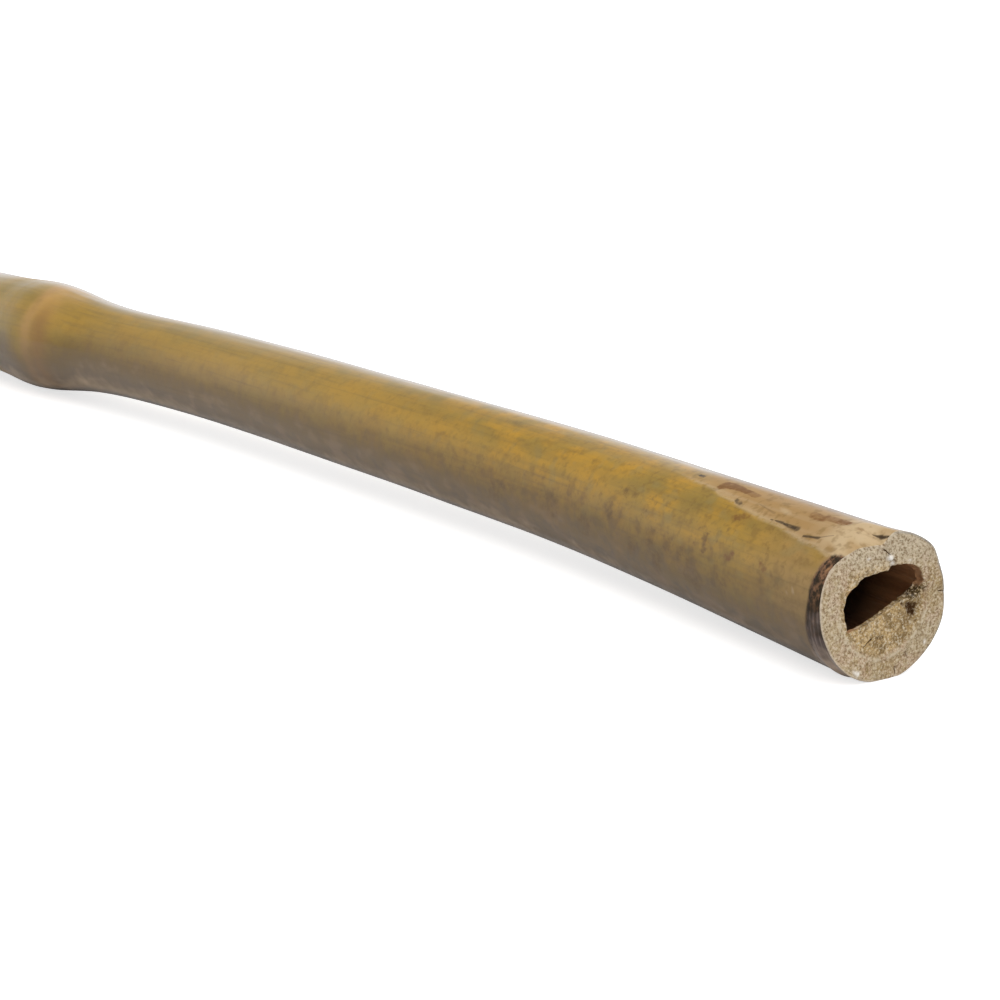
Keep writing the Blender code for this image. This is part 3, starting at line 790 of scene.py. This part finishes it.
def skinMaterial(group, strokes):
    # olive and golden zones under streaks, mottles, marks, nodes with painted highlight and shade,
    # the grey of the underside with painted shade and bounce light, and a painted sheen at the
    # edges
    look = skinLook
    material, mix, shader = startMaterial("bambooSkin", look)
    streaks, fine = fibres(mix, group, 1.6, 60)
    broad = mix.noise((0.012, 0.1, 0.1), 2)
    patchy = mix.noise((0.14, 0.2, 0.2), 2)
    small = mix.noise((0.9, 1.1, 1.1), 4, 0.65)
    hazy = mix.noise((0.34, 0.4, 0.4), 2, 0.6)
    blotch = mix.noise((0.62, 0.5, 0.5), 2, 0.6)
    mossy = mix.noise((0.26, 0.3, 0.3), 1)
    tone = mix.blended(mix.ranged(broad, 0.36, 0.64), "olive", "golden")
    tone = mix.blended(mix.layer("warm", mix.ranged(patchy, 0.32, 0.66)), tone, "warm")
    tone = mix.blended(mix.layer("tan", mix.ranged(patchy, 0.25, 0.55, 0.4, 1)), tone, "tan")
    tone = mix.veil(tone, "streak", streaks, 0.42, 0.72, 0.28)
    tone = mix.veil(tone, "streak", fine, 0.48, 0.76, 0.38)
    crisp = mix.layer("crisp")
    for value, low, high, most, colour in (
            (hazy, 0.5, 0.72, 0.45, "mottle"), (blotch, 0.54, 0.7, 0.4, "mottle"),
            (mossy, 0.56, 0.7, 0.3, "moss"), (small, 0.52, 0.68, 0.3, "mottle")):
        share = mix.times(mix.ranged(value, low, high, 0, most), crisp)
        tone = mix.blended(share, tone, colour)
    # the scraped patch, with pale fibres and a light line at its edge
    scraped = mix.layer("scraped", mix.ranged(small, 0.1, 0.35))
    pale = mix.layer("bare", mix.ranged(patchy, 0.25, 0.6))
    bare = mix.blended(pale, "scraped", "scrapedPale")
    bare = mix.veil(bare, "scrapedPale", streaks, 0.5, 0.7, 0.35)
    bare = mix.veil(bare, "mottle", blotch, 0.5, 0.66, 0.4)
    tone = mix.blended(mix.times(scraped, 0.85), tone, bare)
    line = mix.layer("scrapeLine", mix.ranged(small, 0.3, 0.5))
    tone = mix.blended(mix.times(line, 0.5), tone, "scrapedPale")
    # the nodes: orange crests with painted highlight, painted shade bands and painted highlight
    # lines
    patches = mix.ranged(patchy, 0.25, 0.6, 0.55, 1)
    for layer, strength, colour in (("nodeBloom", 0.75, "bloom"), ("nodeGlow", 0.7, "glow"),
                                    ("nodeShadeBand", 0.45, "nodeShadeBand"), ("nodeHighlightLine", 0.6, "nodeHighlightLine")):
        tone = mix.blended(mix.times(mix.layer(layer, strength), patches), tone, colour)
    # the grey underside, with an uneven edge: partly mould grey, partly painted shade of the lower
    # side, with a darker painted-shade band along its edge and painted bounce light from the floor
    # lowest down
    under = mix.maths("ADD", mix.layer("under"), mix.maths("MULTIPLY_ADD", patchy, 6, -3))
    uneven = mix.times(mix.ranged(hazy, 0.2, 0.8, -1.7, 1.7), crisp)
    under = mix.maths("ADD", under, uneven)
    # painted shade: a darker band along the upper edge of the grey
    paintedLowShade = mix.times(mix.ranged(under, -8.5, 0.5), mix.ranged(under, 7, 0.5))
    tone = mix.blended(mix.times(paintedLowShade, 0.75), tone, "paintedLowShade")
    dark = mix.times(mix.ranged(hazy, 0.44, 0.66, 0, 0.6), crisp)
    grey = mix.blended(dark, "under", "underDark")
    grey = mix.veil(grey, "underWarm", patchy, 0.5, 0.68, 0.7)
    grey = mix.veil(grey, "underDark", fine, 0.5, 0.74, 0.25)
    # painted bounce light from the floor, paler lowest down
    grey = mix.veil(grey, "paintedBounceLight", under, 4.5, 12, 0.8)
    tone = mix.veil(tone, grey, under, -2.5, 6, 0.92)
    # painted shade laid again over the node's shade band and highlight line, above the grey
    for layer in ("nodeShadeBand", "nodeHighlightLine"):
        tone = mix.blended(mix.layer(layer, 0.4), tone, "nodeShadeBand")
    # smudges and marks
    ragged = mix.maths("MULTIPLY_ADD", small, 1.6, -0.8)
    blotches = mix.ranged(blotch, 0.34, 0.6, 0.55, 1)
    for layer, full, most in (("smudge", 1.25, 0.75), ("brown", 0.8, 0.95),
                              ("lesion", 0.85, 0.95)):
        value = mix.layer(layer)
        share = mix.ranged(mix.maths("ADD", value, ragged), 0.15, full, 0, most)
        share = mix.times(mix.times(share, mix.ranged(value, 0, 0.6)), blotches)
        tone = mix.blended(share, tone, layer)
    for s1, turn1, s2, turn2, width1, width2, most in marks["strokes"]:
        radial = (0, math.sin(math.radians(turn2)), math.cos(math.radians(turn2)))
        share = strokeMask(mix, strokes, (onSkin(s1, turn1), onSkin(s2, turn2)), radial,
                           (width1, width2), ragged)
        share = mix.times(share, mix.ranged(small, 0.36, 0.52, 0.75 * most, most))
        tone = mix.blended(share, tone, "lesion")
    tone = mix.blended(mix.layer("palePatch", 0.7), tone, "scrapedPale")
    # the sheath's strip: dark with torn reddish places above, ringed grey below, with painted
    # bounce light from the floor lowest down
    torn = mix.noise((1.5, 0.8, 0.8), 3, 0.65)
    rings = mix.noise((3, 0.1, 0.1), 1)
    redness = mix.times(mix.ranged(torn, 0.4, 0.66), mix.ranged(under, -9, -3, 1, 0.3))
    strip = mix.blended(redness, "sheath", "sheathRed")
    strip = mix.veil(strip, "scraped", torn, 0.62, 0.74, 0.5)
    grey = mix.blended(mix.ranged(rings, 0.42, 0.56), "sheathGrey", "sheathRing")
    grey = mix.veil(grey, "sheathBounceLight", under, 0.5, 8, 0.85)
    strip = mix.veil(strip, grey, under, -3.5, 0.5, 0.9)
    edge = mix.layer("sheathEdge", mix.ranged(torn, 0.3, 0.55, 0.7, 0.15))
    strip = mix.blended(edge, strip, "sheath")
    sheath = mix.layer("sheath")
    tone = mix.blended(sheath, tone, strip)
    # painted sheen: a pale grey blended into the colour where the surface turns away, standing in
    # for the grazing reflection of the bright surroundings
    facing = mix.node("LayerWeight", {"Blend": 0.5}).outputs["Facing"]
    coatAndSheen = mix.layer("coatAndSheen")
    paintedSheen = mix.times(mix.ranged(facing, 0.7, 0.97, 0, 0.75), coatAndSheen)
    tone = mix.blended(paintedSheen, tone, "paintedSheen")
    # gloss: a wax coat, dull where it is scraped or dirty; relief: fine fibres and a little grime
    dull = mix.maths("MAXIMUM", mix.times(scraped, 0.5), sheath)
    height = mix.maths("ADD", mix.times(fine, 0.6), mix.times(small, 0.35))
    finishMaterial(mix, shader, tone, (0.3, 0.0001, height), {
        "Roughness": mix.maths("MULTIPLY_ADD", dull, 0.35, look["roughness"]),
        "Coat Weight": mix.times(mix.ranged(dull, 0, 1, look["coat"], 0), coatAndSheen),
        "Coat Roughness": look["coatRoughness"], "Specular IOR Level": look["specular"]})
    return material


# the sawn ends

sawnLook = {
    "tan": (0.43, 0.325, 0.185), "pink": (0.48, 0.335, 0.215), "ochre": (0.385, 0.27, 0.125),
    "plate": (0.525, 0.36, 0.163), "plateDark": (0.25, 0.162, 0.062),
    # the crumble and pit colours: dark pith, deepened by painted shade in the gaps, pits and
    # cracks
    "pale": (0.65, 0.55, 0.4), "dark": (0.225, 0.15, 0.075), "crumble": (0.062, 0.038, 0.013),
    # the near-white fleck colour is partly pale crumbs, partly painted glints
    "pitShade": (0.055, 0.023, 0.006), "fleckAndGlint": (0.9, 0.86, 0.8), "inside": (0.44, 0.24, 0.12),
    # the bright colour is painted light on the face's top and by its rim
    "bright": (0.59, 0.505, 0.385),
    # the pale rim colour is a painted highlight
    "rimHighlight": (0.64, 0.54, 0.42), "rimGrey": (0.3, 0.29, 0.27),
    "roughness": 0.8, "specular": 0.15,
}

def sawnMaterial(strokes):
    # tan wood with pale and dark grains; the plate across the lumen is yellower; painted light at
    # the face's top and by its rim, painted shade in pits, cracks and gaps, pale flecks with
    # painted glints, a painted highlight on the left rim
    look = sawnLook
    material, mix, shader = startMaterial("sawnEnd", look)
    grain = mix.noise((2.3, 2.3, 2.3), 3, 0.7)
    grit = mix.noise((1.1, 3.9, 3.9), 1)
    coarse = mix.noise((0.75, 0.75, 0.75), 2)
    broad = mix.noise((0.22, 0.22, 0.22), 1)
    cells = mix.node("TexVoronoi", {
        "Vector": mix.place((0.25, 2, 2)), "Scale": 1})
    dots = mix.ranged(cells.outputs["Distance"], 0.14, 0.38, 1, 0)
    tone = mix.blended(mix.ranged(broad, 0.42, 0.58), "tan", "pink")
    tone = mix.veil(tone, "ochre", coarse, 0.46, 0.6, 0.9)
    plate = mix.blended(mix.ranged(coarse, 0.42, 0.62), "plate", "plateDark")
    tone = mix.blended(mix.layer("plate"), tone, plate)
    tone = mix.blended(mix.layer("plateShade"), tone, "plateDark")
    # painted light on the top of the face and by its rim
    tone = mix.blended(mix.layer("bright", 0.6), tone, "bright")
    tone = mix.veil(tone, "pale", grain, 0.5, 0.64, 0.9)
    tone = mix.veil(tone, "pale", grit, 0.56, 0.72, 0.6)
    tone = mix.blended(mix.times(dots, 0.6), tone, "dark")
    tone = mix.veil(tone, "dark", grain, 0.49, 0.36, 0.9)
    # painted shade in the gaps between the crumbs
    tone = mix.blended(mix.layer("crumble", mix.ranged(grain, 0.6, 0.46)), tone, "crumble")
    edge = mix.layer("plateEdge", mix.ranged(coarse, 0.42, 0.56))
    tone = mix.blended(mix.times(edge, 0.85), tone, "pale")
    # a painted highlight on the rim's left, grey on its right
    for layer, strength in (("rimHighlight", 0.7), ("rimGrey", 0.8)):
        tone = mix.blended(mix.layer(layer, strength), tone, layer)
    # pits and cracks: dark pith deepened by painted shade
    pitShade = mix.times(mix.layer("pitShade"), mix.ranged(grain, 0.3, 0.62, 1.7, 0.7), clamp=True)
    tone = mix.blended(pitShade, tone, "pitShade")
    rough = mix.maths("MULTIPLY_ADD", grain, 2, -1)
    widths = (cut["crackWidth"], 0.6 * cut["crackWidth"])
    for start, end in cut["cracks"]:
        share = strokeMask(mix, strokes, ((0, *start), (0, *end)), (1, 0, 0), widths,
                           rough)
        tone = mix.blended(share, tone, "pitShade")
    # pale crumbs with painted glints, and the inner wall's colour
    for layer in ("fleckAndGlint", "inside"):
        tone = mix.blended(mix.layer(layer), tone, layer)
    height = mix.maths("MULTIPLY_ADD", dots, -0.35, grain)
    finishMaterial(mix, shader, tone, (0.6, 0.0003, height), {
        "Roughness": look["roughness"], "Specular IOR Level": look["specular"]})
    return material


# inside the hollows

# the deep colour is painted shade far inside the hollows
hollowLook = {"wall": (0.64, 0.33, 0.145), "streak": (0.4, 0.19, 0.08),
              "pale": (0.72, 0.44, 0.24), "deep": (0.012, 0.008, 0.007), "roughness": 0.7}

def hollowMaterial(group):
    # reddish wall with darker and paler streaks, and painted shade nearly black deep inside
    look = hollowLook
    material, mix, shader = startMaterial("hollowWall", look)
    streaks, fine = fibres(mix, group, 0.9, 22)
    tone = mix.blended(mix.ranged(streaks, 0.4, 0.62), "wall", "streak")
    tone = mix.veil(tone, "pale", fine, 0.55, 0.72, 0.6)
    # painted shade deep inside
    tone = mix.blended(mix.layer("deep"), tone, "deep")
    finishMaterial(mix, shader, tone, (0.6, 0.0004, fine), {"Roughness": look["roughness"]})
    return material


# the table, the light and the camera

setting = {
    "floorSize": 80, "floorColour": (0.66, 0.66, 0.66), "floorRoughness": 0.8,
    "floorSpecular": 0.2, "floorDrop": 0.00005,
    "floorGlow": 0.7,  # added for the camera alone
    "skyTop": 0.6, "skySide": 1.15, "skyNear": 0.18,  # brightness above, behind, in front
    "backdrop": 1.25, "backdropDark": 0.1, "backdropHeight": (0.08, 0.7),
    "backdropReach": (-0.1, 0.7),
    "suns": ((1.16, 70, (4, 8, 0)), (1.15, 50, (8, 62, 0))),
    "eye": (0.8163, -0.2113, 0.103), "pitch": 13.52, "turn": 54.02, "lens": 77.4,
    "sensor": 36, "farthest": 200,
}

def buildSetting():
    # a pale table, a soft sky, two soft suns and the photograph's camera
    look = setting
    view = bpy.context.scene
    bpy.ops.mesh.primitive_plane_add(size=look["floorSize"])
    floor = bpy.context.object
    floor.name = "table"
    floor.location.z = -look["floorDrop"]
    material, mix, shader = startMaterial("paleTable")
    seen = mix.node("LightPath").outputs["Is Camera Ray"]
    mix.fill(shader, {
        "Base Color": (*look["floorColour"], 1), "Roughness": look["floorRoughness"],
        "Specular IOR Level": look["floorSpecular"], "Emission Color": (1, 1, 1, 1),
        "Emission Strength": mix.times(seen, look["floorGlow"])})
    floor.data.materials.append(material)

    # the sky is brightest behind the cane, and dimmer overhead and on the camera's side
    world = bpy.data.worlds.new("softStudio")
    view.world = world
    world.use_nodes = True
    mix = Shades(world.node_tree)
    way = mix.node("TexCoord").outputs["Generated"]
    away = math.radians(look["turn"])
    behind = mix.vector("DOT_PRODUCT", way, (-math.sin(away), math.cos(away), 0), 1)
    height = mix.node("SeparateXYZ", {0: way}).outputs["Z"]
    side = mix.ranged(behind, -0.7, 0.7, look["skyNear"], look["skySide"])
    lit = mix.between(mix.ranged(height, 0.1, 0.9), side, look["skyTop"])
    # reflections see a bright backdrop low down behind the cane, and little else
    low = mix.ranged(height, *look["backdropHeight"], 1, 0)
    drop = mix.times(mix.ranged(behind, *look["backdropReach"]), low)
    shine = mix.maths("MULTIPLY_ADD", drop, look["backdrop"], look["backdropDark"])
    rays = mix.node("LightPath").outputs
    level = mix.between(rays["Is Glossy Ray"], lit, shine)
    # and the camera sees the same white on every side
    level = mix.between(rays["Is Camera Ray"], level, look["skySide"])
    background = world.node_tree.nodes["Background"]
    mix.fill(background, {"Strength": level, "Color": (1, 1, 1, 1)})

    for index, (strength, spread, turns) in enumerate(look["suns"]):
        light = bpy.data.lights.new("softSun%d" % index, "SUN")
        light.energy = strength
        light.angle = math.radians(spread)
        lamp = bpy.data.objects.new(light.name, light)
        lamp.rotation_euler = [math.radians(turn) for turn in turns]
        lamp.visible_glossy = False
        view.collection.objects.link(lamp)

    camera = bpy.data.objects.new("camera", bpy.data.cameras.new("camera"))
    camera.data.lens = look["lens"]
    camera.data.sensor_width = look["sensor"]
    camera.data.clip_end = look["farthest"]
    camera.location = look["eye"]
    camera.rotation_euler = (math.radians(90 - look["pitch"]), 0, math.radians(look["turn"]))
    view.collection.objects.link(camera)
    view.camera = camera
    view.view_settings.view_transform = "Standard"
    view.view_settings.look = "None"
    print("table, light and camera are in place")


# putting it together

straight, kinds = buildCulm()
cane = joinGrid("caneCulm", straight, kinds)
paintMarks(cane, straight, kinds)
group = fibreGroup()
strokes = strokeGroup()
for material in (skinMaterial(group, strokes), sawnMaterial(strokes), hollowMaterial(group)):
    cane.data.materials.append(material)
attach(cane, "root")
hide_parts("cane")
print("culm:", len(cane.data.polygons), "faces")
buildSetting()
